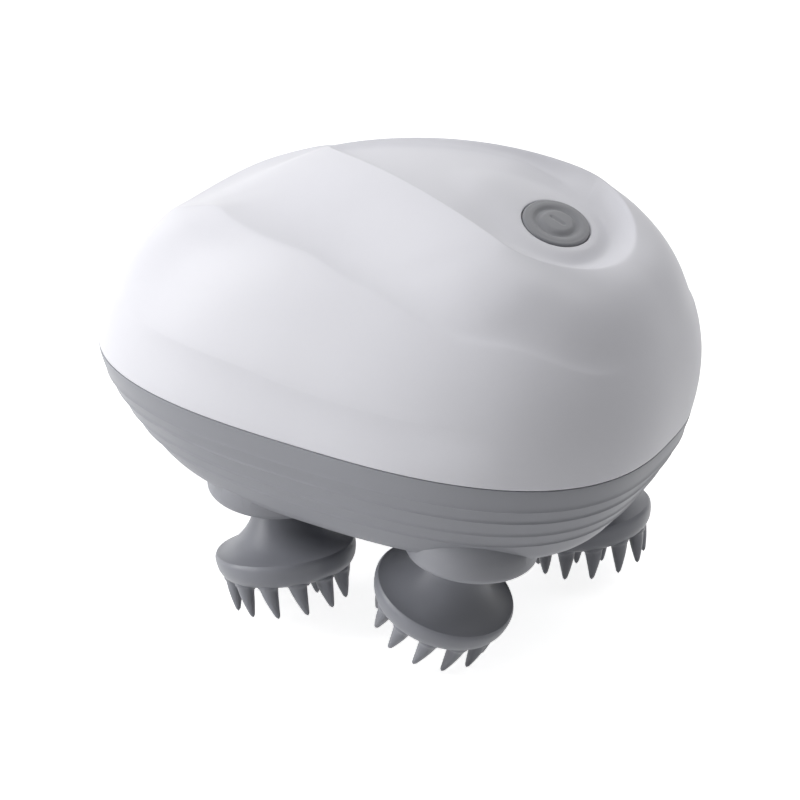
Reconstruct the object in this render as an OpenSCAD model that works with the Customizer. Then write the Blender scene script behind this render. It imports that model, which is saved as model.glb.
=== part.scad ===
// Hand-held massager for cats and dogs: an egg-shaped case with four kneading silicone heads.
// The nose with the button points along +X, the left side is +Y, and the claw tips stand on z = 0.

/* [Case] */
// Half length from the widest station to the nose
case_front = 57.7; // [52:0.1:62]
// Half length from the widest station to the tail
case_rear = 60.3; // [55:0.1:65]
// Half width at the parting line
case_side = 43.1; // [40:0.1:46]
// Station of the widest section, forward of the middle
widest_x = 1; // [0:0.1:3]
// Height of the parting line over the boss faces
parting_rise = 22.5; // [21:0.1:24]
// Height of the plain dome over the parting line
dome_rise = 45; // [43:0.1:47]
// How far the crown of the dome leans forward
crown_lean = 7.3; // [4:0.1:10]
// Wall thickness of both halves
wall = 2.4; // [2:0.1:3]

/* [Top relief] */
// Half width of the teardrop panel on the top
panel_side = 21.7; // [19:0.1:22]
// Depth of the hollow just above the flank ridge
flank_hollow = 2.4; // [0:0.1:2.8]
// Depth of the band under the lower crease
crease_depth = 0.8; // [0:0.1:1.2]

/* [Housing ribs] */
// How far each lapped rib stands out
rib_proud = 0.55; // [0:0.05:0.8]

/* [Button] */
// Half length of the button along the case
button_long = 6.4; // [5.5:0.1:7]
// Half width of the button across the case
button_wide = 8.8; // [7.5:0.1:9.2]

/* [Massage heads] */
// Tilt of a head on its shaft
head_tilt = 15.5; // [12:0.5:17]
// Largest radius of a head
head_r = 14; // [13:0.1:14.5]
// Number of claws round the rim
rim_claws = 12; // [10:1:14]
// Number of inner claws
inner_claws = 6; // [4:1:6]
// Length of a rim claw
claw_length = 7; // [6:0.1:7.5]
// Radius of a boss
boss_r = 12.8; // [12.5:0.1:13.2]

/* [Gear train] */
// Module of the centre and output gears
drive_module = 0.8; // [0.8]
// Teeth of each centre gear
centre_teeth = 34; // [34]
// Teeth of each output gear
output_teeth = 28; // [28]
// Teeth of the reduction wheel and of the compound wheel
wheel_teeth = 48; // [48]
// Teeth of the two small pinions
pinion_teeth = 12; // [12]
// Circumferential play of the teeth
backlash = 0.16; // [0.12:0.01:0.2]

/* [Hidden] */
$fn = 64;

// Colours
WHITE = [0.90, 0.90, 0.93];
GREY = [0.52, 0.53, 0.56];
SILICONE = [0.36, 0.36, 0.39];
STEEL = [0.72, 0.73, 0.75];
ACETAL = [0.93, 0.91, 0.84];
BLACK = [0.12, 0.12, 0.13];

// Levels of the head, measured down the tilted axis from the bend of the shaft
bend_rise = 8;
neck_top = 5.5;
crease_at = 18.6;
sole_at = 23.2;
rim_claw_r = 10.8;
inner_claw_r = 5.2;
tip_at = sole_at + claw_length;

// Levels of the case, measured up from the floor
boss_z = tip_at * cos(head_tilt) + rim_claw_r * sin(head_tilt) - bend_rise;
bend_z = boss_z + bend_rise;
under_z = boss_z + 2.5;
edge_z = boss_z + 4;
floor_z = boss_z + 5;
turret_z = boss_z + 14;
gear_z = boss_z + 15.2;
gear_h = 5;
wheel_z = gear_z + gear_h + 0.6;
wheel_h = 3.5;
first_z = wheel_z + wheel_h + 0.6;
first_h = 3;
plate_z = first_z + first_h + 0.8;
plate_t = 2;
deck_z = plate_z + plate_t;
part_z = boss_z + parting_rise;

// Plan of the gear train
train_x = 8;
centre_r = drive_module * centre_teeth / 2;
output_r = drive_module * output_teeth / 2;
head_dx = 21.8;
head_dy = sqrt(pow(centre_r + output_r, 2) - pow(head_dx - centre_r, 2));
fine_module = 0.6;
first_module = 0.5;
second_reach = fine_module * (wheel_teeth + pinion_teeth) / 2;
first_reach = first_module * (wheel_teeth + pinion_teeth) / 2;
compound_turn = 135;
motor_turn = -75;
compound_xy = [train_x + centre_r + second_reach * cos(compound_turn), second_reach * sin(compound_turn)];
motor_xy = compound_xy + first_reach * [cos(motor_turn), sin(motor_turn)];

// Heads: name order is front right, front left, rear right, rear left
function head_xy(f, s) = [train_x + f * head_dx, s * head_dy];
lean_fr = 168;
lean_fl = 0;
lean_rr = -21;
lean_rl = 150;

// Small parts
shaft_r = 2.5;
pin_r = 2;
running = 0.05;
post_spots = [[train_x + 34, 0], [train_x - 34, 0], [train_x, 30], [train_x, -30]];
screw_spots = [[44, 13], [44, -13], [-37, 15], [-37, -15]];
button_x = 30.4;
button_z = part_z + 37;
button_slope = 19;
board_top = -11.2;
board_t = 1.6;
board_spots = [[-12, 7.5], [-12, -7.5], [12, 7.5], [12, -7.5]];
frame_top = -4.4;
flange_top = -2.2;
peg_y = 11.4;
port_x = -57.6;
port_z = part_z + 7;
port_lean = 17;
port_back = -7.5;

// Blends from 0 to 1 as x goes from a to b
function blend(a, b, x) = let (u = min(1, max(0, (x - a) / (b - a)))) u * u * (3 - 2 * u);
function mix(a, b, u) = a + (b - a) * u;
function sgn_pow(c, n) = sign(c) * pow(abs(c), 2 / n);
// Angle from the nose, 0 to 180, for either side
function from_nose(t) = let (a = t % 360) a > 180 ? 360 - a : a;

// One point of an egg-shaped outline: half lengths to front, rear and side, and its squareness
function egg(t, front, rear, side, nf, nr) =
    let (c = cos(t), s = sin(t), n = c > 0 ? nf : nr)
    [(c > 0 ? front : rear) * sgn_pow(c, n), side * sgn_pow(s, n)];

// The plain dome at direction t and level h, from 0 at the parting line to 1 at the crown
dome_power = 2.16;
function dome(t, h, inset, rise) =
    let (swell = 0.016 * blend(0.2, 0.6, h) * (1 - blend(0.62, 0.72, h)) * blend(95, 150, from_nose(t)),
         k = pow(1 - pow(h, dome_power), 1 / dome_power) * (1 + swell),
         p = egg(t, case_front - inset, case_rear - inset, case_side - inset, 2.67, 2.72))
    [widest_x + p[0] * k + crown_lean * h, p[1] * k, part_z + rise * h];

// Levels of the two flank lines of the dome, and how strongly each shows
function crease_level(a) = 0.238 + 0.032 * blend(86, 102, a);
function crease_show(a) = blend(58, 76, a) * (1 - blend(122, 150, a));
function ridge_level(a) =
    0.49 + 0.085 * blend(25, 60, a) + 0.165 * blend(66, 104, a) - 0.22 * blend(140, 182, a);
function ridge_show(a) = blend(55, 112, a);
function hollow_show(a) = blend(75, 110, a) - 0.5 * blend(150, 180, a);

// The teardrop panel: pointed at the tail, round at the nose
panel_x = 30;
panel_nose = 15.4;
panel_tail = 48;
function panel_height(x) =
    part_z + 44.6 - 0.0056 * pow(x - 3.7, 2) - 0.36 * blend(26, 34, x) - 0.18 * blend(38, 48, x);
function panel_xy(t) =
    let (c = cos(t), s = sin(t), u = pow(abs(c), 1.15))
    c >= 0
        ? [panel_x + panel_nose * sgn_pow(c, 1.8), panel_side * sgn_pow(s, 1.8)]
        : [panel_x - panel_tail * u, panel_side * sign(s) * pow(1 - pow(u, 1.3), 0.85)];
function panel_edge(t) = let (p = panel_xy(t)) [p[0], p[1], panel_height(p[0])];

// Floor of the panel along its middle, which dips to seat the button
function floor_height(x) =
    part_z + 43.2 - 0.0062 * pow(x - 2, 2) - 0.9 * blend(14, 26, x) + 0.073 * pow(max(0, x - 38), 2);
function button_ring(t, grow) = [button_x + (button_long + grow) * cos(t), (button_wide + grow) * sin(t)];
function seat_height(x) = button_z - tan(button_slope) * (x - button_x);

// Outward direction across a flank line
function outward(t, chord) =
    let (n = cross(chord, [-sin(t), cos(t), 0]), s = norm(n)) s > 0 ? -n / s : [0, 0, 1];

// Rows of the dome's outer skin from the parting line to the middle of the button seat
function skin_low(t, u) =
    let (a = from_nose(t), h = u * crease_level(a), p = dome(t, h, 0, dome_rise), q = egg(t, 1, 1, 1, 2, 2))
    p - [q[0], q[1], 0] * crease_depth * crease_show(a) * pow(u, 2);
function skin_side(t, u) =
    let (a = from_nose(t), h = mix(crease_level(a), ridge_level(a), u)) dome(t, h, 0, dome_rise);
function skin_band(t, u) =
    let (a = from_nose(t), p = dome(t, ridge_level(a), 0, dome_rise), q = panel_edge(t), chord = q - p,
         n = outward(t, chord), show = ridge_show(a),
         low = mix(0.167, -0.02, show) * norm(chord) - flank_hollow * hollow_show(a),
         high = mix(0.22, 0.02, show) * norm(chord))
    p + chord * u + n * (3 * u * (1 - u) * (1 - u) * low + 3 * u * u * (1 - u) * high);
function skin_floor(t, u) =
    let (q = panel_edge(t), s = button_ring(t, 1.2), x = mix(q[0], s[0], u), y = mix(q[1], s[1], u),
         reach = 0.16 + 0.55 * (1 - blend(86, 112, from_nose(t))),
         z = mix(q[2], floor_height(x), 1 - pow(max(0, 1 - u / reach), 2)))
    [x, y, mix(z, seat_height(x), blend(0.7, 1, u))];

N = 72;
LOW = [0, 0.5, 0.96];
SIDE = [0, 0.2, 0.4, 0.6, 0.8, 0.96];
BAND = [0, 0.1, 0.25, 0.42, 0.6, 0.78, 0.92];
FLOOR = [0, 0.05, 0.1, 0.16, 0.4, 0.7, 1];
HOLLOW = [0, 0.18, 0.36, 0.53, 0.68, 0.8, 0.9, 0.96];
ceiling_rise = 39.6;

// Joins rows of n points into rings of triangles; the last row closes on a point
function ring_faces(rows, n, first) =
    [for (r = [0:rows - 2], i = [0:n - 1])
        let (a = first + r * n + i, b = first + r * n + (i + 1) % n)
        each [[a, a + n, b], [b, a + n, b + n]]];
function cap_faces(base, n, apex) = [for (i = [0:n - 1]) [base + i, apex, base + (i + 1) % n]];
function rim_faces(n, one, other) =
    [for (i = [0:n - 1]) let (j = (i + 1) % n) each [[one + i, j + one, other + i], [one + j, other + j, other + i]]];
function flip(faces) = [for (f = faces) [f[2], f[1], f[0]]];

// The ceiling inside the dome, which dips under the button seat
function ceiling(t, h, inset, rise) =
    let (p = dome(t, h, inset, rise)) p - [0, 0, 2.3 * blend(8, 26, p[0]) * pow(h, 3)];

function angles(n) = [for (i = [0:n - 1]) (i + 0.5) * 360 / n];
function shell_points() = [
    for (u = LOW) for (t = angles(N)) skin_low(t, u),
    for (u = SIDE) for (t = angles(N)) skin_side(t, u),
    for (u = BAND) for (t = angles(N)) skin_band(t, u),
    for (u = FLOOR) for (t = angles(N)) skin_floor(t, u),
    [button_x, 0, button_z],
    for (h = HOLLOW) for (t = angles(N)) ceiling(t, h, wall, ceiling_rise),
    [widest_x + crown_lean, 0, part_z + ceiling_rise]];

module shell_solid() {
    rows = len(LOW) + len(SIDE) + len(BAND) + len(FLOOR);
    apex = rows * N;
    inner = apex + 1;
    inner_apex = inner + len(HOLLOW) * N;
    polyhedron(points = shell_points(), faces = concat(
        ring_faces(rows, N, 0),
        cap_faces(apex - N, N, apex),
        flip(ring_faces(len(HOLLOW), N, inner)),
        flip(cap_faces(inner_apex - N, N, inner_apex)),
        rim_faces(N, 0, inner)));
}

// Frame with its z axis square to the button's face
module at_button() {
    translate([button_x, 0, button_z]) rotate([0, button_slope, 0]) children();
}

module oval(long, wide, h) {
    linear_extrude(h) polygon([for (i = [0:47]) [long * cos(i * 7.5), wide * sin(i * 7.5)]]);
}

module upper_shell() {
    color(WHITE) difference() {
        union() {
            difference() {
                shell_solid();
                at_port() translate([0, 0, -1.2]) port_outline(5, 3.3);
            }
            intersection() {
                union() {
                    for (p = screw_spots) translate([p[0], p[1], part_z]) cylinder(r = 3.2, h = 30);
                    at_button() translate([0, 0, frame_top]) oval(10, 13, 6);
                    at_button() for (p = board_spots) translate([p[0], p[1], board_top]) cylinder(r = 2.4, h = 12);
                    at_port() translate([-4.6, -8, port_back]) cube([9.2, 16, 6.5]);
                }
                shell_envelope();
            }
            at_button() for (s = [-1, 1]) translate([0, s * peg_y, frame_top - 1.8]) cylinder(r = 0.8, h = 2);
        }
        at_button() translate([0, 0, -9]) oval(button_long + 0.3, button_wide + 0.3, 14);
        at_button() translate([0, 0, frame_top - 1]) oval(button_long + 1.4, button_wide + 1.4, flange_top - frame_top + 1);
        at_button() for (p = board_spots) translate([p[0], p[1], board_top - 1]) cylinder(r = 0.9, h = 6);
        for (p = screw_spots) translate([p[0], p[1], part_z - 1]) cylinder(r = 1.2, h = 10);
        at_port() translate([0, 0, -4]) port_outline(3, 2.3);
        at_port() translate([0, 0, port_back - 1]) port_outline(5, 2.92);
    }
}

// The space inside the dome's outer skin, a little inside the surface
module shell_envelope() {
    last = len(HOLLOW) * N;
    polyhedron(points = concat(
        [for (h = HOLLOW) for (t = angles(N)) ceiling(t, h, wall - 0.8, ceiling_rise + 0.8)],
        [[widest_x + crown_lean, 0, part_z + ceiling_rise + 0.8], [0, 0, part_z]]),
        faces = concat(ring_faces(len(HOLLOW), N, 0), cap_faces(last - N, N, last),
            flip(cap_faces(0, N, last + 1))));
}

// Lower half: lapped ribs round the nose and sides, fading out towards the tail
RIBS = [0.27, 0.43, 0.62, 0.78];
function rib_show(t) = 1 - blend(112, 150, from_nose(t));
function housing_ring(t, s, out) =
    let (p = egg(t, mix(case_front, 49.4, pow(s, 1.35)) + out, mix(case_rear, 49.5, pow(s, 1.6)) + out,
                 mix(case_side, 37, pow(s, 1.45)) + out, mix(2.67, 2.7, s), mix(2.72, 2.3, s)))
    [widest_x + p[0], p[1], mix(part_z, edge_z, s)];
RIB_ROWS = concat([[0, 0]], [for (i = [0:3]) each [[RIBS[i] - 0.012, 1], [RIBS[i], 0]]], [[0.9, 0], [1, 0]]);
lip = 1.0;
gasket_h = 1.2;

function housing_points() = [
    for (r = RIB_ROWS) for (t = angles(N)) housing_ring(t, r[0], r[1] * rib_proud * rib_show(t)),
    for (t = angles(N)) let (p = housing_ring(t, 1, -1)) [p[0], p[1], under_z + 0.4],
    for (t = angles(N)) let (p = housing_ring(t, 1, -2.6)) [p[0], p[1], under_z],
    [widest_x, 0, under_z],
    for (t = angles(N)) housing_ring(t, 0, -lip),
    for (t = angles(N)) housing_ring(t, 0, -lip) - [0, 0, gasket_h],
    for (t = angles(N)) housing_ring(t, 0, -wall) - [0, 0, gasket_h],
    for (s = [0.35, 0.65, 0.85]) for (t = angles(N)) housing_ring(t, s, -wall),
    for (t = angles(N)) let (p = housing_ring(t, 0.95, -wall - 0.8)) [p[0], p[1], floor_z],
    [widest_x, 0, floor_z]];

module housing_solid() {
    rows = len(RIB_ROWS) + 2;
    apex = rows * N;
    inner = apex + 1;
    inner_apex = inner + 7 * N;
    polyhedron(points = housing_points(), faces = concat(
        flip(ring_faces(rows, N, 0)),
        flip(cap_faces(apex - N, N, apex)),
        ring_faces(7, N, inner),
        cap_faces(inner_apex - N, N, inner_apex),
        flip(rim_faces(N, 0, inner))));
}

module each_head() {
    for (f = [1, -1], s = [1, -1]) translate([head_xy(f, s)[0], head_xy(f, s)[1], 0]) children();
}

module lower_housing() {
    color(GREY) difference() {
        union() {
            housing_solid();
            each_head() turret();
            for (p = post_spots) translate([p[0], p[1], floor_z - 1]) cylinder(r = 3.5, h = plate_z - floor_z + 1);
            for (p = screw_spots) translate([p[0], p[1], floor_z - 1]) cylinder(r = 3.2, h = part_z - floor_z + 1);
            for (x = [train_x + centre_r, train_x - centre_r])
                translate([x, 0, floor_z - 1]) cylinder(r = 3, h = gear_z - floor_z + 0.6);
            translate([compound_xy[0], compound_xy[1], floor_z - 1]) cylinder(r = 3, h = wheel_z - floor_z + 0.6);
        }
        each_head() {
            translate([0, 0, boss_z - 1]) cylinder(r = 9.3, h = 9.7);
            translate([0, 0, boss_z + 8]) cylinder(r = 6, h = 3.2);
            translate([0, 0, boss_z + 11]) cylinder(r = 4, h = 4);
        }
        for (p = post_spots) translate([p[0], p[1], plate_z - 9]) cylinder(r = 1, h = 10);
        for (p = screw_spots) {
            translate([p[0], p[1], under_z - 1]) cylinder(r = 1.6, h = 24);
            translate([p[0], p[1], under_z - 1]) cylinder(r = 3, h = 4.5);
        }
        for (p = [[train_x + centre_r, 0], [train_x - centre_r, 0], compound_xy])
            translate([p[0], p[1], floor_z]) cylinder(r = 1.5, h = gear_z);
    }
}

// A round boss with a softened lower edge, which rises inside the case to carry the bush
module turret() {
    translate([0, 0, boss_z]) rotate_extrude() polygon(concat(
        [[0, 14], [0, 0]],
        [for (i = [0:6]) [boss_r - 1.4 + 1.4 * sin(i * 15), 1.4 - 1.4 * cos(i * 15)]],
        [[boss_r, 6], [9, 14]]));
}

module shell_gasket() {
    n = N;
    gap = 0.05;
    rows = [
        [-lip - gap, 0], [-wall, 0], [-wall, -gasket_h], [-lip - gap, -gasket_h]];
    color(BLACK) polyhedron(
        points = [for (r = rows) for (t = angles(n)) housing_ring(t, 0, r[0]) + [0, 0, r[1]]],
        faces = concat(ring_faces(4, n, 0), rim_faces(n, 0, 3 * n)));
}

module button() {
    color(SILICONE) at_button() {
        difference() {
            union() {
                translate([0, 0, flange_top - 1]) oval(button_long + 1, button_wide + 1, 1);
                translate([0, 0, flange_top - 1]) oval(button_long, button_wide, 4.2);
                translate([0, 0, 0.99]) oval(button_long - 0.5, button_wide - 0.5, 0.4);
            }
            translate([0, 0, 0.9]) difference() {
                oval(button_long - 1.6, button_wide - 2, 1);
                translate([0, 0, -1]) oval(button_long - 2.6, button_wide - 3, 3);
            }
            translate([-1.6, -0.4, 0.9]) cube([3.2, 0.8, 1]);
        }
        translate([0, 0, -6.2]) cylinder(r = 1.6, h = 3.1);
    }
}

module button_frame() {
    color(GREY) at_button() difference() {
        translate([0, 0, frame_top - 1.6]) oval(9.8, 12.8, 1.6);
        translate([0, 0, frame_top - 3]) cylinder(r = 2, h = 4);
        for (s = [-1, 1]) translate([0, s * peg_y, frame_top - 3]) cylinder(r = 0.83, h = 4);
    }
}

// Frame of the charging port: origin on the tail's skin, z square to it and outward
module at_port() {
    translate([port_x, 0, port_z]) rotate([0, port_lean - 90, 0]) children();
}

// Stadium prism of the charging port with ends of radius r
module port_outline(h, r) {
    w = 3.1;
    translate([0, -w, 0]) cylinder(r = r, h = h);
    translate([0, w, 0]) cylinder(r = r, h = h);
    translate([-r, -w, 0]) cube([2 * r, 2 * w, h]);
}

module port_sleeve() {
    color(GREY) at_port() difference() {
        union() {
            translate([-4.4, -7.8, port_back - 1.2]) cube([8.8, 15.6, 1.2]);
            translate([0, 0, port_back - 0.1]) port_outline(3.55, 2.88);
        }
        translate([0, 0, port_back - 2]) port_outline(8, 1.8);
    }
}

module charging_socket() {
    color(STEEL) at_port() difference() {
        translate([0, 0, port_back - 3]) port_outline(6.4, 1.77);
        translate([0, 0, port_back - 2]) port_outline(7, 1.4);
    }
}

module port_plug() {
    color(GREY) at_port() {
        translate([0, 0, -1.15]) port_outline(1.2, 3.24);
        translate([0, 0, -3.9]) port_outline(3, 2.26);
        translate([0, 0, -7]) port_outline(3.2, 1.33);
    }
}

module circuit_board() {
    color([0.1, 0.35, 0.2]) at_button() difference() {
        translate([-15, -10, board_top - board_t]) cube([30, 20, board_t]);
        for (p = board_spots) translate([p[0], p[1], board_top - 3]) cylinder(r = 1, h = 4);
    }
}

module tact_switch() {
    color(BLACK) at_button() {
        translate([-3, -3, board_top]) cube([6, 6, 3.3]);
        translate([0, 0, board_top + 3.2]) cylinder(r = 1.6, h = 0.9);
    }
}

module indicator_lamp() {
    color("white") at_button() translate([-1, 5.6, board_top]) cube([2, 1.2, 0.8]);
}

module board_screws() {
    color(STEEL) at_button() for (p = board_spots) translate([p[0], p[1], board_top - board_t]) {
        translate([0, 0, -1.2]) cylinder(r = 1.9, h = 1.2);
        translate([0, 0, -0.1]) cylinder(r = 0.87, h = 6);
    }
}

module rounded_plate(x0, x1, y, r, h) {
    for (x = [x0 + r, x1 - r], s = [-1, 1]) translate([x, s * (y - r), 0]) cylinder(r = r, h = h);
    translate([x0 + r, -y, 0]) cube([x1 - x0 - 2 * r, 2 * y, h]);
    translate([x0, r - y, 0]) cube([x1 - x0, 2 * (y - r), h]);
}

module gearbox_plate() {
    color(ACETAL) translate([0, 0, plate_z]) difference() {
        union() {
            rounded_plate(train_x - 39, train_x + 28, 29.5, 6, plate_t);
            for (p = post_spots) translate(p) cylinder(r = 4.5, h = plate_t);
            translate([train_x + 23, -4.5, 0]) cube([11, 9, plate_t]);
        }
        for (p = post_spots) translate([p[0], p[1], -1]) cylinder(r = 1.3, h = 4);
        each_head() translate([0, 0, -1]) cylinder(r = 4, h = 4);
        for (p = [[train_x + centre_r, 0], [train_x - centre_r, 0], compound_xy])
            translate([p[0], p[1], -1]) cylinder(r = 1.5, h = 4);
        translate([motor_xy[0], motor_xy[1], -1]) cylinder(r = 3.8, h = 4);
        for (s = [-1, 1]) translate([motor_xy[0], motor_xy[1] + s * 8, 0]) {
            translate([0, 0, -1]) cylinder(r = 1.1, h = 4);
            translate([0, 0, -1]) cylinder(r = 1.9, h = 1.8);
        }
    }
}

module gearbox_screws() {
    color(STEEL) for (p = post_spots) translate([p[0], p[1], deck_z]) {
        cylinder(r = 2.2, h = 1.4);
        translate([0, 0, -8]) cylinder(r = 0.95, h = 8.1);
    }
}

module upper_bushes() {
    color(ACETAL) each_head() translate([0, 0, plate_z - 0.5]) difference() {
        union() {
            cylinder(r = 5, h = 0.5);
            cylinder(r = 3.95, h = plate_t + 0.5);
        }
        translate([0, 0, -1]) cylinder(r = shaft_r + running, h = 5);
    }
}

module case_screws() {
    color(STEEL) for (p = screw_spots) translate([p[0], p[1], under_z + 3.5]) {
        translate([0, 0, -2]) cylinder(r = 2.7, h = 2);
        translate([0, 0, -0.1]) cylinder(r = 1.15, h = part_z - under_z + 4.5);
    }
}

module motor_can() {
    color(STEEL) translate([motor_xy[0], motor_xy[1], deck_z]) difference() {
        union() {
            cylinder(r = 12.2, h = 15.5);
            cylinder(r = 8, h = 16.7);
            translate([0, 0, -1.5]) cylinder(r = 3.6, h = 2);
        }
        translate([0, 0, -2]) cylinder(r = 1 + running, h = 17);
        for (s = [-1, 1]) translate([0, s * 8, -1]) cylinder(r = 1.03, h = 4);
    }
}

module motor_screws() {
    color(STEEL) for (s = [-1, 1]) translate([motor_xy[0], motor_xy[1] + s * 8, plate_z]) {
        cylinder(r = 1.8, h = 0.8);
        translate([0, 0, 0.7]) cylinder(r = 1, h = 3.8);
    }
}

battery_x = -22;
battery_r = 7;
battery_z = deck_z + 2.6 + battery_r;

module battery_cradle() {
    color(ACETAL) difference() {
        translate([battery_x - 8.5, -24, deck_z]) cube([17, 48, 8]);
        translate([battery_x, 30, battery_z]) rotate([90, 0, 0]) cylinder(r = battery_r + 0.02, h = 60);
        translate([battery_x - 10, -15, deck_z + 4]) cube([20, 30, 8]);
        translate([train_x - 34, 0, deck_z - 1]) cylinder(r = 3, h = 6);
    }
}

module battery_cell() {
    color([0.25, 0.45, 0.7]) {
        translate([battery_x, 24.6, battery_z]) rotate([90, 0, 0]) cylinder(r = battery_r, h = 49.2);
        translate([battery_x, 25.6, battery_z]) rotate([90, 0, 0]) cylinder(r = 2.5, h = 1.2);
    }
}

module axle(p) {
    translate([p[0], p[1], floor_z]) cylinder(r = 1.47, h = deck_z - floor_z - 0.3);
}

module front_axle() { color(STEEL) axle([train_x + centre_r, 0]); }
module rear_axle() { color(STEEL) axle([train_x - centre_r, 0]); }
module compound_axle() { color(STEEL) axle(compound_xy); }

// Involute gear outline, with a tooth centred on the direction turn
function involute(base, r) = let (a = acos(min(1, base / r))) tan(a) * 180 / PI - a;
function flank(mod, teeth, top) =
    let (pitch = mod * teeth / 2, base = pitch * cos(20), root = pitch - 1.2 * mod,
         half = 90 / teeth - backlash / 4 / pitch * 180 / PI,
         swing = half + involute(base, pitch))
    [for (r = [root, max(base, root + 0.01), mix(max(base, root), pitch, 0.5), pitch, mix(pitch, top, 0.5), top])
        [r, swing - involute(base, max(r, base))]];
function gear_outline(mod, teeth, turn, add) =
    let (side = flank(mod, teeth, mod * teeth / 2 + add * mod), n = len(side))
    [for (k = [0:teeth - 1]) let (c = turn + k * 360 / teeth)
        each concat(
            [for (i = [0:n - 1]) side[i][0] * [cos(c - side[i][1]), sin(c - side[i][1])]],
            [for (i = [n - 1:-1:0]) side[i][0] * [cos(c + side[i][1]), sin(c + side[i][1])]])];

// Turn of a follower so that its teeth mesh, for the driver's turn and the direction between centres
function meshed(towards, driver_teeth, follower_teeth, driver_turn) =
    towards + 180 + 180 / follower_teeth - (driver_teeth / follower_teeth) * (driver_turn - towards);

rear_turn = meshed(180, centre_teeth, centre_teeth, 0);
function output_turn(f, s) =
    let (d = head_xy(f, s) - [train_x + f * centre_r, 0], towards = atan2(d[1], d[0]))
    meshed(towards, centre_teeth, output_teeth, f > 0 ? 0 : rear_turn);
small_turn = meshed(compound_turn, wheel_teeth, pinion_teeth, 0);
pinion_turn = meshed(motor_turn, wheel_teeth, pinion_teeth, 0);

module gear(mod, teeth, turn, h, bore, add = 0.9) {
    difference() {
        linear_extrude(h) polygon(gear_outline(mod, teeth, turn, add));
        translate([0, 0, -1]) cylinder(r = bore, h = h + 2);
    }
}

module front_centre_gear() {
    color(ACETAL) translate([train_x + centre_r, 0, gear_z])
        gear(drive_module, centre_teeth, 0, gear_h, 1.5 + running);
}

module reduction_wheel() {
    color(ACETAL) translate([train_x + centre_r, 0, gear_z + gear_h]) difference() {
        union() {
            cylinder(r = 4, h = 0.6);
            translate([0, 0, 0.6]) gear(fine_module, wheel_teeth, 0, wheel_h, 1.5 + running);
        }
        translate([0, 0, -1]) cylinder(r = 1.5 + running, h = 8);
    }
}

module rear_centre_gear() {
    color(ACETAL) translate([train_x - centre_r, 0, gear_z])
        gear(drive_module, centre_teeth, rear_turn, gear_h, 1.5 + running);
}

module compound_gear() {
    color(ACETAL) translate([compound_xy[0], compound_xy[1], wheel_z]) difference() {
        union() {
            gear(fine_module, pinion_teeth, small_turn, wheel_h + 0.6, 1.5 + running);
            translate([0, 0, wheel_h + 0.6]) gear(first_module, wheel_teeth, 0, first_h, 1.5 + running);
        }
        translate([0, 0, -1]) cylinder(r = 1.5 + running, h = 12);
    }
}

module motor_shaft() {
    color(STEEL) translate([motor_xy[0], motor_xy[1], first_z]) cylinder(r = 1, h = deck_z - first_z + 14);
}

module motor_pinion() {
    color(ACETAL) translate([motor_xy[0], motor_xy[1], first_z])
        gear(first_module, pinion_teeth, pinion_turn, first_h, 1.005);
}

module shaft_bush(f, s) {
    color(ACETAL) translate([head_xy(f, s)[0], head_xy(f, s)[1], turret_z]) difference() {
        union() {
            cylinder(r = 5.2, h = 0.8);
            translate([0, 0, -2.8]) cylinder(r = 3.98, h = 3);
        }
        translate([0, 0, -4]) cylinder(r = shaft_r + running, h = 6);
    }
}

module shaft_seal(f, s) {
    color(BLACK) translate([head_xy(f, s)[0], head_xy(f, s)[1], boss_z + 9.4]) difference() {
        cylinder(r = 5.98, h = 1.8);
        translate([0, 0, -1]) cylinder(r = shaft_r + running, h = 4);
    }
}

// Frame of one head: origin at the bend of its shaft, z down the leaning axis
module on_head(f, s, lean) {
    translate([head_xy(f, s)[0], head_xy(f, s)[1], bend_z]) rotate([0, 0, lean]) rotate([0, 180 - head_tilt, 0])
        children();
}

module output_shaft(f, s, lean) {
    color(STEEL) {
        translate([head_xy(f, s)[0], head_xy(f, s)[1], bend_z]) {
            cylinder(r = shaft_r, h = deck_z - bend_z);
            sphere(r = shaft_r);
        }
        on_head(f, s, lean) cylinder(r = pin_r, h = 17);
    }
}

module output_gear(f, s) {
    color(ACETAL) translate([head_xy(f, s)[0], head_xy(f, s)[1], gear_z])
        gear(drive_module, output_teeth, output_turn(f, s), gear_h, shaft_r + 0.005);
}

core_disc_r = 11;
core_disc_at = 18;
core_disc_end = 20.6;

module head_core(f, s, lean) {
    color(ACETAL) on_head(f, s, lean) difference() {
        union() {
            translate([0, 0, 4.5]) cylinder(r = 3.6, h = core_disc_at - 4);
            translate([0, 0, core_disc_at]) cylinder(r = core_disc_r, h = core_disc_end - core_disc_at);
        }
        translate([0, 0, 4]) cylinder(r = pin_r + 0.01, h = 13);
    }
}

// Outline of a silicone head: neck, concave bell, crease, rounded band and sole
HEAD_OUTLINE = concat(
    [[3.7, neck_top], [5, neck_top]],
    [for (i = [0:8]) let (u = i / 8)
        [5 + (head_r - 5.3) * pow(u, 1.9), mix(8.2, crease_at - 0.7, 1 - pow(1 - u, 1.25))]],
    [[head_r, crease_at], [head_r, crease_at + 0.6], [head_r - 0.25, crease_at + 2],
     [head_r - 0.8, crease_at + 3.4], [head_r - 1.7, sole_at - 0.25], [head_r - 2.4, sole_at]]);

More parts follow.
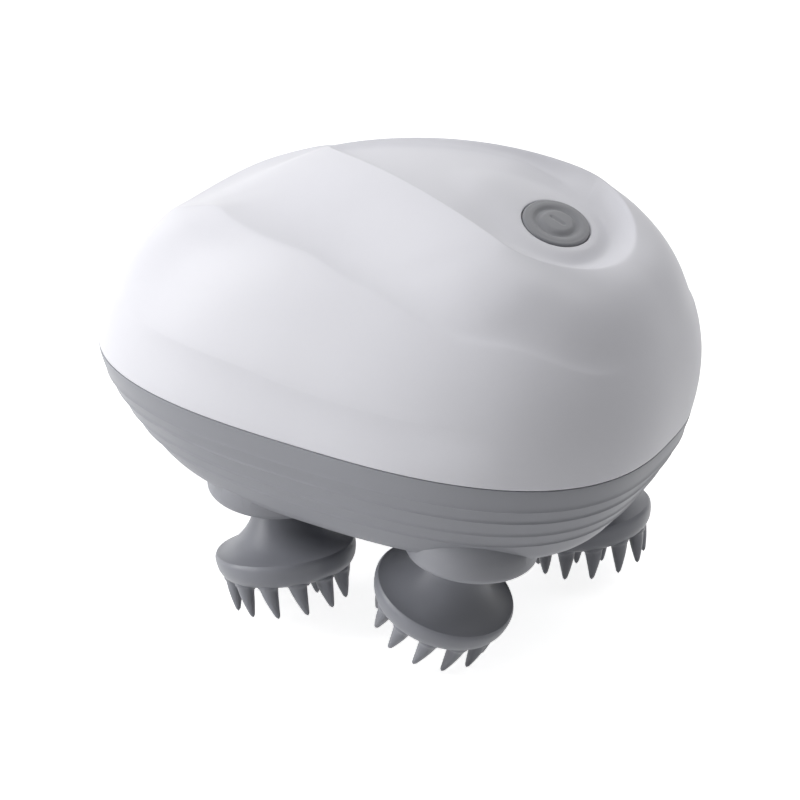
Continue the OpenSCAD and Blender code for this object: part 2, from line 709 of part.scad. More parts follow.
// One claw: a tapering horn with its foot on the sole, which curves along the rim
claw_sides = 6;
CLAW = [[-0.5, 1.75], [0.35, 1.5], [0.7, 1.1], [0.93, 0.62]];
function claw_centre(u, length, sweep) = [0, sweep * max(0, u) * max(0, u), u * length];
module claw(length, scale_r, sweep) {
    polyhedron(
        points = concat(
            [for (c = CLAW) for (i = [0:claw_sides - 1]) let (p = claw_centre(c[0] < 0 ? 0 : c[0], length, sweep))
                [p[0] + scale_r * c[1] * cos(i * 60), p[1] + 1.1 * scale_r * c[1] * sin(i * 60),
                 c[0] < 0 ? -0.5 : p[2]]],
            [claw_centre(1, length, sweep), [0, 0, -0.5]]),
        faces = concat(
            ring_faces(len(CLAW), claw_sides, 0),
            cap_faces((len(CLAW) - 1) * claw_sides, claw_sides, len(CLAW) * claw_sides),
            flip(cap_faces(0, claw_sides, len(CLAW) * claw_sides + 1))));
}

module massage_head(f, s, lean) {
    color(SILICONE) on_head(f, s, lean) {
        rotate_extrude() polygon(concat(HEAD_OUTLINE, [[0, sole_at], [0, core_disc_end],
            [core_disc_r + 0.1, core_disc_end], [core_disc_r + 0.1, core_disc_at - 0.1],
            [3.7, core_disc_at - 0.1]]));
        for (i = [0:rim_claws - 1]) rotate([0, 0, i * 360 / rim_claws])
            translate([rim_claw_r, 0, sole_at]) claw(claw_length, 1, f * 1.2);
        for (i = [0:inner_claws - 1]) rotate([0, 0, (i + 0.5) * 360 / inner_claws])
            translate([inner_claw_r, 0, sole_at]) claw(claw_length - 1, 0.85, f * 0.8);
    }
}

module front_right_bush() { shaft_bush(1, -1); }
module front_left_bush() { shaft_bush(1, 1); }
module rear_right_bush() { shaft_bush(-1, -1); }
module rear_left_bush() { shaft_bush(-1, 1); }
module front_right_seal() { shaft_seal(1, -1); }
module front_left_seal() { shaft_seal(1, 1); }
module rear_right_seal() { shaft_seal(-1, -1); }
module rear_left_seal() { shaft_seal(-1, 1); }
module front_right_shaft() { output_shaft(1, -1, lean_fr); }
module front_left_shaft() { output_shaft(1, 1, lean_fl); }
module rear_right_shaft() { output_shaft(-1, -1, lean_rr); }
module rear_left_shaft() { output_shaft(-1, 1, lean_rl); }
module front_right_gear() { output_gear(1, -1); }
module front_left_gear() { output_gear(1, 1); }
module rear_right_gear() { output_gear(-1, -1); }
module rear_left_gear() { output_gear(-1, 1); }
module front_right_core() { head_core(1, -1, lean_fr); }
module front_left_core() { head_core(1, 1, lean_fl); }
module rear_right_core() { head_core(-1, -1, lean_rr); }
module rear_left_core() { head_core(-1, 1, lean_rl); }
module front_right_head() { massage_head(1, -1, lean_fr); }
module front_left_head() { massage_head(1, 1, lean_fl); }
module rear_right_head() { massage_head(-1, -1, lean_rr); }
module rear_left_head() { massage_head(-1, 1, lean_rl); }

upper_shell();
lower_housing();
shell_gasket();
button();
button_frame();
port_sleeve();
charging_socket();
port_plug();
circuit_board();
tact_switch();
indicator_lamp();
board_screws();
gearbox_plate();
gearbox_screws();
upper_bushes();
case_screws();
motor_can();
motor_screws();
battery_cradle();
battery_cell();
front_axle();
rear_axle();
compound_axle();
front_centre_gear();
reduction_wheel();
rear_centre_gear();
compound_gear();
motor_shaft();
motor_pinion();
front_right_bush();
front_left_bush();
rear_right_bush();
rear_left_bush();
front_right_seal();
front_left_seal();
rear_right_seal();
rear_left_seal();
front_right_shaft();
front_left_shaft();
rear_right_shaft();
rear_left_shaft();
front_right_gear();
front_left_gear();
rear_right_gear();
rear_left_gear();
front_right_core();
front_left_core();
rear_right_core();
rear_left_core();
front_right_head();
front_left_head();
rear_right_head();
rear_left_head();
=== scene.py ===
"""Studio model of a hand-held massager for cats and dogs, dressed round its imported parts."""

import logging
import math
from dataclasses import dataclass, field
from enum import Enum
from typing import Sequence

import bpy
import numpy as np
from mathutils import Matrix, Vector


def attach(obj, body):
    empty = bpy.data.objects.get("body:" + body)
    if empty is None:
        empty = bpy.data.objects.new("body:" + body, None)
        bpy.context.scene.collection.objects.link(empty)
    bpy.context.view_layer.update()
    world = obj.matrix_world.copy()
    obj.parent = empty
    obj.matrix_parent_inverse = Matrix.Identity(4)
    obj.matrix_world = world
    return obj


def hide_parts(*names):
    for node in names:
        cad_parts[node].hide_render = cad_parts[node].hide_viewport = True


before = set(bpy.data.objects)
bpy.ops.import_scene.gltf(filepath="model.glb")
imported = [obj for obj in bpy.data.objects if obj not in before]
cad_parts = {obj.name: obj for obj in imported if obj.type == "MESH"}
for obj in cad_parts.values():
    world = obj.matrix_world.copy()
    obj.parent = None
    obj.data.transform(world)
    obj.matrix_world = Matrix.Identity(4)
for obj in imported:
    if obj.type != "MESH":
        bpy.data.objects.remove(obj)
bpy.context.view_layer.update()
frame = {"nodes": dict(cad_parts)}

LOG = logging.getLogger("massager")
MM = 0.001

Colour = tuple[float, float, float]
Outline = Sequence[tuple[float, float]]


# Shader maths


class Value:
    """An output socket of a material, used in expressions like a number."""

    def __init__(self, tree: bpy.types.NodeTree, socket: bpy.types.NodeSocket) -> None:
        """Keeps the tree that the socket belongs to."""
        self.tree = tree
        self.socket = socket

    def _maths(self, operation: str, first: "Value | float", second: "Value | float") -> "Value":
        """Adds one Math node.

        Args:
            operation: The node's operation.
            first: Its first term.
            second: Its second term.

        Returns:
            The node's result.
        """
        node = self.tree.nodes.new("ShaderNodeMath")
        node.operation = operation
        for slot, term in zip(node.inputs, (first, second)):
            feed(self.tree, slot, term)
        return Value(self.tree, node.outputs[0])

    def __add__(self, other: "Value | float") -> "Value":
        """Sum."""
        return self._maths("ADD", self, other)

    def __sub__(self, other: "Value | float") -> "Value":
        """Difference."""
        return self._maths("SUBTRACT", self, other)

    def __mul__(self, other: "Value | float") -> "Value":
        """Product."""
        return self._maths("MULTIPLY", self, other)


def feed(tree: bpy.types.NodeTree, slot: bpy.types.NodeSocket, term: object) -> None:
    """Links a value into an input, or sets the input to a plain number or colour.

    Args:
        tree: The node tree.
        slot: The input.
        term: A Value, a number, or a sequence of numbers.
    """
    if isinstance(term, Value):
        tree.links.new(term.socket, slot)
    else:
        slot.default_value = term


def seen_rays(tree: bpy.types.NodeTree) -> Value:
    """Gives 1 where a surface is seen, by the camera or in a glossy or clear surface, and else 0."""
    rays = tree.nodes.new("ShaderNodeLightPath")
    seen = Value(tree, rays.outputs["Is Camera Ray"])
    for ray in ("Is Glossy Ray", "Is Transmission Ray"):
        seen = seen + Value(tree, rays.outputs[ray])
    return seen


class Recipe:
    """A material in the making, with its principled shader."""

    def __init__(self, name: str) -> None:
        """Starts a material with a shader and nothing else."""
        self.material = bpy.data.materials.new(name)
        self.material.use_nodes = True
        self.tree = self.material.node_tree
        self.shader = self.tree.nodes["Principled BSDF"]

    def node(self, kind: str, settings: dict | None = None, inputs: dict | None = None,
             output: int | str = 0) -> Value:
        """Adds a node of any kind.

        Args:
            kind: The node's type.
            settings: Its settings.
            inputs: Values or numbers for its inputs, by name or place.
            output: Which of its outputs to return.

        Returns:
            That output.
        """
        made = self.tree.nodes.new(kind)
        for name, setting in (settings or {}).items():
            setattr(made, name, setting)
        for name, term in (inputs or {}).items():
            feed(self.tree, made.inputs[name], term)
        return Value(self.tree, made.outputs[output])

    def place(self, stretch: Colour = (1.0, 1.0, 1.0)) -> Value:
        """Gives the object coordinates, stretched along each axis.

        Args:
            stretch: Factor along x, y and z.

        Returns:
            The coordinates.
        """
        point = self.node("ShaderNodeTexCoord", output="Object")
        return self.node("ShaderNodeMapping", None, {"Vector": point, "Scale": stretch})

    def noise(self, grain: float, detail: float = 2.0, stretch: Colour = (1.0, 1.0, 1.0)) -> Value:
        """Gives a noise pattern with features of a real size.

        Args:
            grain: Size of a feature in millimetres.
            detail: Octaves.
            stretch: Factor along each axis.

        Returns:
            The noise, near 0.5 on the average.
        """
        return self.node("ShaderNodeTexNoise", None,
                         {"Vector": self.place(stretch), "Scale": 1 / (grain * MM), "Detail": detail})

    def blend(self, mask: Value, first: object, second: object) -> Value:
        """Mixes two colours by a mask."""
        return self.node("ShaderNodeMix", {"data_type": "RGBA"}, {0: mask, 6: first, 7: second}, 2)

    def ramp(self, value: Value, low: float, high: float) -> Value:
        """Stretches the part of a value from low to high over 0 to 1, and clips the rest."""
        return self.node("ShaderNodeMapRange", None, {0: value, 1: low, 2: high})

    def relief(self, height: Value, depth: float, onto: Value | None = None) -> Value:
        """Turns a height pattern into a bumped normal.

        Args:
            height: The pattern, from 0 to 1.
            depth: Height of a full step in millimetres.
            onto: A normal to bump further.

        Returns:
            The normal.
        """
        inputs = {"Height": height, "Distance": depth * MM, "Strength": 1.0}
        if onto is not None:
            inputs["Normal"] = onto
        return self.node("ShaderNodeBump", None, inputs)

    def finish(self, **sockets: object) -> bpy.types.Material:
        """Feeds the principled shader and returns the material.

        Args:
            **sockets: Values or numbers by socket name, with _ for a space.

        Returns:
            The finished material.
        """
        for name, term in sockets.items():
            feed(self.tree, self.shader.inputs[name.replace("_", " ")], term)
        return self.material


def shade(colour: Colour, factor: float) -> tuple[float, float, float, float]:
    """Gives a colour made lighter or darker, with full alpha."""
    return tuple(min(1.0, c * factor) for c in colour) + (1.0,)


@dataclass(frozen=True)
class Moulded:
    """Moulded plastic or silicone with the fine texture of its mould."""

    name: str
    colour: Colour
    roughness: float = 0.4
    grain: float = 0.3
    depth: float = 0.004
    tint_change: float = 0.02
    gloss_change: float = 0.06
    sheen: float = 0.0

    def build(self) -> bpy.types.Material:
        """Makes the material."""
        recipe = Recipe(self.name)
        patches = recipe.noise(17.0, 3.0)
        fine = recipe.noise(self.grain, 2.0)
        cloud = recipe.ramp(patches * 0.75 + fine * 0.25, 0.35, 0.65)
        colour = recipe.blend(cloud, shade(self.colour, 1 - self.tint_change),
                              shade(self.colour, 1 + self.tint_change))
        gloss = (cloud - 0.5) * (2 * self.gloss_change) + self.roughness
        waves = recipe.relief(recipe.noise(9.0, 1.0), 0.03)
        return recipe.finish(
            Base_Color=colour, Roughness=gloss, Normal=recipe.relief(fine, self.depth, waves),
            Sheen_Weight=self.sheen, IOR=1.48)


@dataclass(frozen=True)
class Metal:
    """Drawn or turned metal with fine lines along one axis."""

    name: str
    colour: Colour
    roughness: float = 0.3
    stretch: Colour = (1.0, 1.0, 14.0)

    def build(self) -> bpy.types.Material:
        """Makes the material."""
        recipe = Recipe(self.name)
        lines = recipe.noise(1.2, 4.0, self.stretch)
        stains = recipe.ramp(recipe.noise(4.0, 2.0), 0.4, 0.7)
        colour = recipe.blend(stains, shade(self.colour, 1.05), shade(self.colour, 0.88))
        return recipe.finish(Base_Color=colour, Metallic=1.0, Roughness=lines * 0.2 + (self.roughness - 0.1),
                             Normal=recipe.relief(lines, 0.006))


@dataclass(frozen=True)
class Lacquered:
    """Lacquered circuit board with copper paths under the lacquer."""

    name: str
    colour: Colour
    pitch: float = 2.4

    def build(self) -> bpy.types.Material:
        """Makes the material."""
        recipe = Recipe(self.name)
        paths = recipe.node("ShaderNodeTexBrick", {"offset": 0.35, "squash": 0.7}, {
            "Vector": recipe.place(), "Scale": 1 / (self.pitch * MM), "Mortar Size": 0.06,
            "Color1": (0, 0, 0, 1), "Color2": (0, 0, 0, 1), "Mortar": (1, 1, 1, 1)})
        weave = recipe.noise(0.4, 2.0)
        colour = recipe.blend(paths, shade(self.colour, 1.0), shade(self.colour, 1.6))
        return recipe.finish(Base_Color=colour, Roughness=weave * 0.1 + 0.2,
                             Normal=recipe.relief(paths * 0.8 + weave * 0.2, 0.02))


class Slot(Enum):
    """The finishes of the object, by the record's names."""

    SHELL_WHITE = Moulded("shell_white", (0.80, 0.80, 0.85), 0.42, 0.35, 0.003, 0.008, 0.05)
    HOUSING_GREY = Moulded("housing_grey", (0.312, 0.318, 0.349), 0.46, 0.3, 0.005, 0.02, 0.06)
    BUTTON_SILICONE = Moulded("button_silicone", (0.24, 0.244, 0.264), 0.5, 0.18, 0.006, 0.03, 0.06, 0.15)
    HEAD_SILICONE = Moulded("head_silicone", (0.245, 0.252, 0.284), 0.4, 0.22, 0.006, 0.03, 0.08, 0.15)
    SEAL_RUBBER = Moulded("seal_rubber", (0.03, 0.03, 0.033), 0.6, 0.15, 0.006, 0.1, 0.08, 0.2)
    STEEL = Metal("steel", (0.62, 0.63, 0.65), 0.28)
    ACETAL = Moulded("acetal", (0.80, 0.77, 0.68), 0.36, 0.5, 0.004, 0.03, 0.08)
    BRASS = Metal("brass", (0.66, 0.46, 0.19), 0.3)
    BOARD_GREEN = Lacquered("board_green", (0.02, 0.13, 0.06))
    BLACK_PLASTIC = Moulded("black_plastic", (0.03, 0.03, 0.032), 0.45, 0.25, 0.005, 0.1, 0.08)
    LAMP_WHITE = Moulded("lamp_white", (0.85, 0.84, 0.76), 0.2, 0.4, 0.002, 0.02, 0.05)
    CELL_BLUE = Moulded("cell_blue", (0.05, 0.13, 0.34), 0.3, 0.6, 0.003, 0.05, 0.08)


class Wardrobe:
    """Builds each finish once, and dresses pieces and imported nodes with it."""

    def __init__(self) -> None:
        """Builds every finish."""
        self.materials = {slot.value.name: slot.value.build() for slot in Slot}

    def dress(self, piece: bpy.types.Object, slot: Slot) -> None:
        """Gives a piece its finish, the material named after the record's slot."""
        piece.data.materials.clear()
        piece.data.materials.append(self.materials[slot.value.name])

    def dress_nodes(self, nodes: dict[str, bpy.types.Object], spare: Slot) -> None:
        """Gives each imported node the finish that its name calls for.

        Args:
            nodes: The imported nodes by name.
            spare: The finish of a node that no name calls for.
        """
        for name in sorted(nodes):
            slot = slot_of(name) or spare
            for holder in nodes[name].material_slots:
                holder.material = self.materials[slot.value.name]
            LOG.info("dressed %s", name)


NODE_SLOTS: dict[Slot, tuple[str, ...]] = {
    Slot.SHELL_WHITE: ("upper_shell",),
    Slot.HOUSING_GREY: ("lower_housing", "button_frame", "port_sleeve"),
    Slot.SEAL_RUBBER: ("shell_gasket", "_seal", "port_plug"),
    Slot.STEEL: ("_screws", "_axle", "_shaft", "motor_can", "charging_socket"),
    Slot.BRASS: ("motor_pinion",),
    Slot.BOARD_GREEN: ("circuit_board",),
    Slot.BLACK_PLASTIC: ("tact_switch",),
    Slot.LAMP_WHITE: ("indicator_lamp",),
    Slot.CELL_BLUE: ("battery_cell",),
    Slot.HEAD_SILICONE: ("_head",),
    Slot.BUTTON_SILICONE: ("button",),
    Slot.ACETAL: ("_bush", "_gear", "_wheel", "_plate", "_cradle", "_core"),
}


def slot_of(node: str) -> Slot | None:
    """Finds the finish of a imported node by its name."""
    for slot, words in NODE_SLOTS.items():
        if any(word in node if word.startswith("_") else word == node for word in words):
            return slot
    return None


# Modelling tools


def deselect() -> None:
    """Leaves edit mode and deselects everything."""
    if bpy.context.object and bpy.context.object.mode != "OBJECT":
        bpy.ops.object.mode_set(mode="OBJECT")
    bpy.ops.object.select_all(action="DESELECT")


def activate(piece: bpy.types.Object) -> None:
    """Makes a piece the only one selected."""
    deselect()
    piece.select_set(True)
    bpy.context.view_layer.objects.active = piece


def name_piece(name: str) -> bpy.types.Object:
    """Names the active object and its mesh, and returns it."""
    piece = bpy.context.object
    piece.name = name
    piece.data.name = name
    return piece


def weave(name: str, rows: np.ndarray) -> bpy.types.Object:
    """Shapes a grid into closed rings, one for each row of points, and closes it.

    Args:
        name: Name of the piece.
        rows: Points in millimetres, as rows, columns and axes; a row of equal points is a pole.

    Returns:
        The piece, its seam and poles closed.
    """
    count, columns = rows.shape[:2]
    deselect()
    bpy.ops.mesh.primitive_grid_add(x_subdivisions=columns, y_subdivisions=count - 1, size=1.0)
    piece = name_piece(name)
    flat = np.empty(len(piece.data.vertices) * 3)
    piece.data.vertices.foreach_get("co", flat)
    flat = flat.reshape(-1, 3)
    order = np.lexsort((np.round(flat[:, 0], 5), np.round(flat[:, 1], 5)))
    wrapped = np.concatenate([rows, rows[:, :1]], axis=1).reshape(-1, 3) * MM
    spots = np.empty_like(wrapped)
    spots[order] = wrapped
    piece.data.vertices.foreach_set("co", spots.ravel())
    piece.data.update()
    seal(piece)
    return piece


def seal(piece: bpy.types.Object, near: float = 0.0015) -> None:
    """Merges doubled points and turns all faces outward.

    Args:
        piece: The piece.
        near: Distance in millimetres at which points are one.
    """
    activate(piece)
    bpy.ops.object.mode_set(mode="EDIT")
    bpy.ops.mesh.select_all(action="SELECT")
    bpy.ops.mesh.remove_doubles(threshold=near * MM)
    bpy.ops.mesh.normals_make_consistent(inside=False)
    bpy.ops.object.mode_set(mode="OBJECT")


def turn(name: str, outline: Outline, sides: int = 96) -> bpy.types.Object:
    """Turns an outline about the z axis, ring by ring.

    Args:
        name: Name of the piece.
        outline: Radius and height of each ring in millimetres, with 0 radius for a pole.
        sides: Points round a ring.

    Returns:
        The closed piece.
    """
    least = 0.004
    points = [(max(r, least), z) for r, z in outline]
    deselect()
    bpy.ops.mesh.primitive_circle_add(vertices=sides, radius=points[0][0] * MM)
    piece = name_piece(name)
    bpy.ops.object.mode_set(mode="EDIT")
    bpy.ops.mesh.select_all(action="SELECT")
    bpy.ops.transform.translate(value=(0, 0, points[0][1] * MM))
    for (r0, z0), (r1, z1) in zip(points, points[1:]):
        bpy.ops.mesh.extrude_edges_move(TRANSFORM_OT_translate={"value": (0, 0, (z1 - z0) * MM)})
        bpy.ops.transform.resize(value=(r1 / r0, r1 / r0, 1), center_override=(0, 0, z1 * MM))
    bpy.ops.object.mode_set(mode="OBJECT")
    seal(piece, 2.2 * least)
    return piece


def copy_of(piece: bpy.types.Object, name: str, place: Matrix) -> bpy.types.Object:
    """Copies a piece with its own mesh, placed in that mesh.

    Args:
        piece: The piece to copy.
        name: Name of the copy.
        place: Where the copy goes, in metres.

    Returns:
        The copy.
    """
    made = piece.copy()
    made.data = piece.data.copy()
    made.name = name
    made.data.name = name
    bpy.context.scene.collection.objects.link(made)
    made.data.transform(place)
    if place.determinant() < 0:
        made.data.flip_normals()
    return made


def at_spot(spot: Sequence[float]) -> Matrix:
    """Gives the move to a spot in the plan, given in millimetres."""
    return Matrix.Translation((spot[0] * MM, spot[1] * MM, 0))


def gather(parts: Sequence[bpy.types.Object], name: str) -> bpy.types.Object:
    """Joins parts into one object, in which each stays a closed solid of its own."""
    activate(parts[0])
    for part in parts:
        part.select_set(True)
    bpy.ops.object.join()
    return name_piece(name)


def carve(piece: bpy.types.Object, tool: bpy.types.Object, operation: str = "DIFFERENCE") -> None:
    """Cuts a tool out of a piece, or adds it, and removes the tool.

    Args:
        piece: The piece that changes.
        tool: The other solid.
        operation: DIFFERENCE or UNION.
    """
    activate(piece)
    cut = piece.modifiers.new("carve", "BOOLEAN")
    cut.operation = operation
    cut.object = tool
    cut.solver = "EXACT"
    bpy.ops.object.modifier_apply(modifier=cut.name)
    bpy.data.objects.remove(tool, do_unlink=True)


def smooth(piece: bpy.types.Object, angle: float = 40.0) -> None:
    """Shades a piece smooth, apart from edges sharper than an angle in degrees."""
    activate(piece)
    bpy.ops.object.shade_smooth_by_angle(angle=math.radians(angle))


def discard(*pieces: bpy.types.Object) -> None:
    """Deletes master pieces that were only there to be copied."""
    for piece in pieces:
        bpy.data.objects.remove(piece, do_unlink=True)


# Forms of the case


def blend(a: float, b: float, x: np.ndarray) -> np.ndarray:
    """Rises smoothly from 0 at a to 1 at b."""
    u = np.clip((np.asarray(x, float) - a) / (b - a), 0, 1)
    return u * u * (3 - 2 * u)


def mix(a: np.ndarray, b: np.ndarray, u: np.ndarray) -> np.ndarray:
    """Goes from a to b as u goes from 0 to 1."""
    return a + (b - a) * u


def power(c: np.ndarray, n: np.ndarray) -> np.ndarray:
    """Gives a signed power, for outlines between an ellipse and a box."""
    return np.sign(c) * np.abs(c) ** (2 / n)


def compass(t: np.ndarray) -> tuple[np.ndarray, np.ndarray]:
    """Gives the cosine and the sine of directions in degrees."""
    return np.cos(np.radians(t)), np.sin(np.radians(t))


def level_ring(x: np.ndarray, y: np.ndarray, z: np.ndarray | float) -> np.ndarray:
    """Gives a ring of points at one height, or at a height for each."""
    return np.stack([x, y, z + 0 * x], -1)


def from_nose(t: np.ndarray) -> np.ndarray:
    """Gives the angle from the nose, 0 to 180, for either side."""
    a = np.mod(t, 360)
    return np.where(a > 180, 360 - a, a)


@dataclass(frozen=True)
class CaseForm:
    """Measures of the egg-shaped case in millimetres, and the surfaces that follow from them."""

    front: float = 57.7
    rear: float = 60.3
    side: float = 43.1
    widest_x: float = 1.0
    boss_z: float = 23.99
    part_z: float = 46.49
    dome_rise: float = 45.0
    dome_power: float = 2.16
    crown_lean: float = 7.3
    crease_depth: float = 0.66
    flank_hollow: float = 2.4
    dish: float = 0.55
    band_low: float = 0.135
    band_high: float = 0.21
    rim_top: float = 44.6
    rim_peak_x: float = 3.7
    rim_fall: float = 0.0056
    rim_drop: float = 0.36
    rim_rise: float = -0.18
    floor_top: float = 43.2
    floor_peak_x: float = 2.0
    floor_fall: float = 0.0062
    bowl_drop: float = 0.9
    bowl_from: float = 38.0
    bowl_rise: float = 0.073
    seat_margin: float = 1.2
    full_to: float = 55.0
    flat_from: float = 112.0
    hollow_from: float = 75.0
    hollow_to: float = 110.0
    panel_side: float = 21.7
    panel_x: float = 30.0
    panel_nose: float = 15.4
    panel_tail: float = 48.0
    button_x: float = 30.4
    button_rise: float = 37.0
    button_slope: float = 19.0
    button_long: float = 6.4
    button_wide: float = 8.8
    seat_lift: float = 0.95
    wall: float = 2.4
    rib_proud: float = 0.55
    line_depth: float = 0.5
    line_from: float = 74.0
    line_to: float = 112.0
    line_width: float = 3.0

    @property
    def under_z(self) -> float:
        """Height of the flat underside."""
        return self.boss_z + 2.5

    @property
    def edge_z(self) -> float:
        """Height of the lower edge of the side wall."""
        return self.boss_z + 4

    def egg(self, t: np.ndarray, front: np.ndarray, rear: np.ndarray, side: np.ndarray,
            square: tuple = (2.67, 2.72)) -> np.ndarray:
        """Gives points of an egg-shaped outline at directions t.

        Args:
            t: Directions in degrees.
            front: Half length to the nose.
            rear: Half length to the tail.
            side: Half width.
            square: Squareness of the front and of the rear.

        Returns:
            Their x and y.
        """
        c, s = compass(t)
        n = np.where(c > 0, *square)
        return np.stack([np.where(c > 0, front, rear) * power(c, n), side * power(s, n)], -1)

    def dome(self, t: np.ndarray, h: np.ndarray, inset: float = 0.0) -> np.ndarray:
        """Gives the plain dome at directions t and level h, from 0 at the parting line."""
        h = np.asarray(h, float) + 0 * t
        swell = 0.016 * blend(0.2, 0.6, h) * (1 - blend(0.62, 0.72, h)) * blend(95, 150, from_nose(t))
        k = np.clip(1 - h ** self.dome_power, 0, 1) ** (1 / self.dome_power) * (1 + swell)
        e = self.egg(t, self.front - inset, self.rear - inset, self.side - inset)
        return np.stack([self.widest_x + e[..., 0] * k + self.crown_lean * h, e[..., 1] * k,
                         self.part_z + self.dome_rise * h], -1)

    def crease_level(self, a: np.ndarray) -> np.ndarray:
        """Gives the level of the lower crease at an angle from the nose."""
        return 0.238 + 0.032 * blend(86, 102, a)

    def ridge_level(self, a: np.ndarray) -> np.ndarray:
        """Gives the level of the upper flank line at an angle from the nose."""
        return 0.465 + 0.11 * blend(25, 60, a) + 0.165 * blend(66, 104, a) - 0.22 * blend(140, 182, a)

    def panel_edge(self, t: np.ndarray) -> np.ndarray:
        """Gives the rim of the teardrop panel on the top."""
        c, s = compass(t)
        v = np.abs(c) ** 1.15
        x = np.where(c >= 0, self.panel_x + self.panel_nose * power(c, 1.8),
                     self.panel_x - self.panel_tail * v)
        y = np.where(c >= 0, self.panel_side * power(s, 1.8),
                     self.panel_side * np.sign(s) * np.clip(1 - v ** 1.3, 0, 1) ** 0.85)
        z = (self.part_z + self.rim_top - self.rim_fall * (x - self.rim_peak_x) ** 2
             - self.rim_drop * blend(26, 34, x) + self.rim_rise * blend(38, 48, x))
        return np.stack([x, y, z], -1)

    def floor_height(self, x: np.ndarray) -> np.ndarray:
        """Gives the height of the panel along its middle."""
        return (self.part_z + self.floor_top - self.floor_fall * (x - self.floor_peak_x) ** 2
                - self.bowl_drop * blend(14, 26, x) + self.bowl_rise * np.maximum(0, x - self.bowl_from) ** 2)

    def seat_height(self, x: np.ndarray) -> np.ndarray:
        """Gives the height of the sloping button seat."""
        slope = math.tan(math.radians(self.button_slope))
        return self.part_z + self.button_rise - slope * (x - self.button_x)

    def skin_low(self, t: np.ndarray, u: np.ndarray) -> np.ndarray:
        """Gives the band under the lower crease, u from 0 at the parting line to 1.

        The band draws in below the crease, most at two thirds of its height.
        """
        a = from_nose(t)
        show = blend(54, 78, a) * (1 - blend(112, 146, a))
        q = self.egg(t, 1, 1, 1, (2, 2)) * (self.crease_depth * show * 6.75 * u ** 2 * (1 - u))[..., None]
        p = self.dome(t, u * self.crease_level(a))
        p[..., :2] -= q
        return p

    def skin_side(self, t: np.ndarray, u: np.ndarray) -> np.ndarray:
        """Gives the flank between the two lines."""
        a = from_nose(t)
        return self.dome(t, mix(self.crease_level(a), self.ridge_level(a), u))

    def skin_band(self, t: np.ndarray, u: np.ndarray) -> np.ndarray:
        """Gives the shoulder between the upper flank line and the rim of the panel."""
        a = from_nose(t)
        p, q = self.dome(t, self.ridge_level(a)), self.panel_edge(t)
        chord = q - p
        c, s = compass(t)
        along = level_ring(-s, c, 0)
        n = -np.cross(chord, along)
        n /= np.linalg.norm(n, axis=-1, keepdims=True)
        show = blend(self.full_to, self.flat_from, a)
        reach = np.linalg.norm(chord, axis=-1)
        hollow = blend(self.hollow_from, self.hollow_to, a) - 0.5 * blend(150, 180, a)
        low = mix(self.band_low, -0.02, show) * reach - self.flank_hollow * hollow
        high = mix(self.band_high, 0.02, show) * reach
        bulge = 3 * u * (1 - u) ** 2 * low + 3 * u * u * (1 - u) * high
        depth = self.line_depth * blend(5, 35, a) * (1 - blend(self.line_from, self.line_to, a))
        far = u * reach / self.line_width
        bulge = bulge - depth * far * np.exp(1 - far)
        return p + chord * np.asarray(u)[..., None] + n * bulge[..., None]

    def skin_floor(self, t: np.ndarray, u: np.ndarray) -> np.ndarray:
        """Gives the floor of the panel, from its rim to the edge of the button seat."""
        a = from_nose(t)
        q = self.panel_edge(t)
        c, s = compass(t)
        sx = self.button_x + (self.button_long + self.seat_margin) * c
        sy = (self.button_wide + self.seat_margin) * s
        x, y = mix(q[..., 0], sx, u), mix(q[..., 1], sy, u)
        reach = 0.16 + self.dish * (1 - blend(86, 112, a))
        z = mix(q[..., 2], self.floor_height(x), 1 - np.clip(1 - u / reach, 0, 1) ** 2)
        return np.stack([x, y, mix(z, self.seat_height(x) + self.seat_lift, blend(0.62, 1, u))], -1)

    def housing_ring(self, t: np.ndarray, s: np.ndarray, out: np.ndarray | float = 0.0) -> np.ndarray:
        """Gives a ring of the lower housing, s from 0 at the parting line to 1 at the lower edge."""
        s = np.asarray(s, float) + 0 * t
        e = self.egg(t, mix(self.front, 49.4, s ** 1.35) + out, mix(self.rear, 49.5, s ** 1.6) + out,
                     mix(self.side, 37, s ** 1.45) + out, (mix(2.67, 2.7, s), mix(2.72, 2.3, s)))
        return np.stack([self.widest_x + e[..., 0], e[..., 1], mix(self.part_z, self.edge_z, s)], -1)

    def button_frame(self) -> np.ndarray:
        """Gives the matrix of the button's frame: its middle, and z square to its face."""
        turned = np.array(Matrix.Rotation(math.radians(self.button_slope), 4, "Y"))
        turned[:3, 3] = (self.button_x, 0, self.part_z + self.button_rise)
        return turned


CASE = CaseForm()
FRONT_X, REAR_X, HEAD_Y = 29.8, -13.8, 23.405
HEAD_SPOTS = ((FRONT_X, -HEAD_Y), (FRONT_X, HEAD_Y), (REAR_X, -HEAD_Y), (REAR_X, HEAD_Y))
SCREW_SPOTS = ((44, 13), (44, -13), (-37, 15), (-37, -15))


def directions(columns: int) -> np.ndarray:
    """Gives evenly spread directions in degrees that miss the axes."""
    return (np.arange(columns) + 0.5) * 360 / columns


def placed(matrix: np.ndarray, points: np.ndarray) -> np.ndarray:
    """Moves points in millimetres by a matrix."""
    return points @ matrix[:3, :3].T + matrix[:3, 3]


